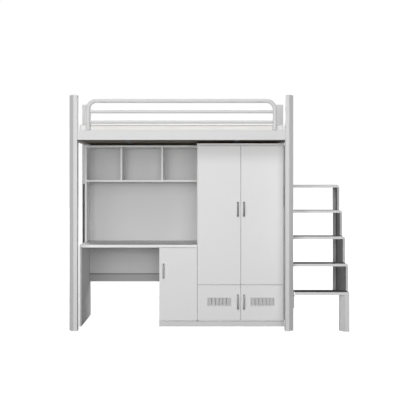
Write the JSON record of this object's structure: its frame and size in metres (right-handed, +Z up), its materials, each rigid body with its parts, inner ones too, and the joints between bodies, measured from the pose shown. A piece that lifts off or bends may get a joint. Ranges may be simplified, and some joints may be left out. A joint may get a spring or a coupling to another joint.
{
  "type": "loft bed with desk",
  "caption": "Metal loft bed with a guardrail over a desk, hutch shelves, a small cupboard and a wardrobe with hinged doors, and open-riser stairs at one end.",
  "frame": {"origin": "centre of the bounding box's footprint, on the floor", "axes": "+X along the length of the bed towards the stairs, +Y from the front to the rear, +Z up"},
  "size_m": [2.508, 0.921, 2.1],
  "materials": {
    "frame_steel": "white powder coat, satin",
    "stair_steel": "light grey powder coat, satin",
    "white_panel": "white laminated board, matt",
    "door_panel": "white laminated board, matt",
    "plywood": "raw plywood",
    "mattress_fabric": "woven cream cover",
    "handle_metal": "satin nickel",
    "rubber_mat": "ribbed dark grey rubber",
    "dark_plastic": "moulded grey plastic",
    "vent_plastic": "grey moulded plastic"
  },
  "bodies": {
    "frame": {"post_front_left": "frame_steel", "post_front_right": "frame_steel", "post_rear_left": "frame_steel", "post_rear_right": "frame_steel", "side_rail_front": "frame_steel", "side_rail_rear": "frame_steel", "end_rail_left": "frame_steel", "end_rail_right": "frame_steel", "deck_crossbar_1": "frame_steel", "deck_crossbar_2": "frame_steel", "bed_board": "plywood", "mattress": "mattress_fabric", "guardrail_hoop": "frame_steel", "guardrail_bar_1": "frame_steel", "guardrail_bar_2": "frame_steel", "desk_side_panel": "white_panel", "desk_top": "white_panel", "desk_back_panel": "white_panel", "desk_rear_rail": "white_panel", "hutch_side_panel": "white_panel", "hutch_top": "white_panel", "hutch_back_panel": "white_panel", "hutch_shelf": "white_panel", "hutch_divider_1": "white_panel", "hutch_divider_2": "white_panel", "pedestal_side_panel": "white_panel", "pedestal_bottom": "white_panel", "pedestal_back": "white_panel", "wardrobe_side_left": "white_panel", "wardrobe_side_right": "white_panel", "wardrobe_top": "white_panel", "wardrobe_bottom": "white_panel", "wardrobe_back": "white_panel", "wardrobe_middle_shelf": "white_panel", "hanging_rail": "handle_metal", "pivot_strip": "handle_metal", "plinth": "white_panel", "pivot_rod_left": "handle_metal", "pivot_rod_right": "handle_metal", "pivot_rod_pedestal": "handle_metal", "stair_tread_1": "stair_steel", "stair_tread_2": "stair_steel", "stair_tread_3": "stair_steel", "stair_tread_4": "stair_steel", "stair_tread_5": "stair_steel", "stair_leg": "frame_steel", "stair_side_panel": "stair_steel", "stair_inner_stringer": "stair_steel"},
    "upper_door_left": {"door_upper_left": "door_panel", "handle_upper_left": "handle_metal"},
    "lower_door_left": {"door_lower_left": "door_panel", "handle_lower_left": "handle_metal", "vent_left": "vent_plastic"},
    "upper_door_right": {"door_upper_right": "door_panel", "handle_upper_right": "handle_metal"},
    "lower_door_right": {"door_lower_right": "door_panel", "handle_lower_right": "handle_metal", "vent_right": "vent_plastic"},
    "small_door": {"pedestal_door": "door_panel", "pedestal_handle": "handle_metal"}
  },
  "joints": [
    {"name": "upper_door_left_hinge", "type": "hinge", "parent": "frame", "child": "upper_door_left", "pos_m": [-0.104, -0.1995, 1.023], "axis": [0, 0, 1], "range_deg": [-90, 0]},
    {"name": "upper_door_right_hinge", "type": "hinge", "parent": "frame", "child": "upper_door_right", "pos_m": [0.677, -0.1995, 1.023], "axis": [0, 0, 1], "range_deg": [0, 80]},
    {"name": "lower_door_left_hinge", "type": "hinge", "parent": "frame", "child": "lower_door_left", "pos_m": [-0.104, -0.1995, 0.219], "axis": [0, 0, 1], "range_deg": [-90, 0]},
    {"name": "lower_door_right_hinge", "type": "hinge", "parent": "frame", "child": "lower_door_right", "pos_m": [0.677, -0.1995, 0.219], "axis": [0, 0, 1], "range_deg": [0, 80]},
    {"name": "small_door_hinge", "type": "hinge", "parent": "frame", "child": "small_door", "pos_m": [-0.117, -0.1995, 0.39], "axis": [0, 0, 1], "range_deg": [0, 80]}
  ]
}
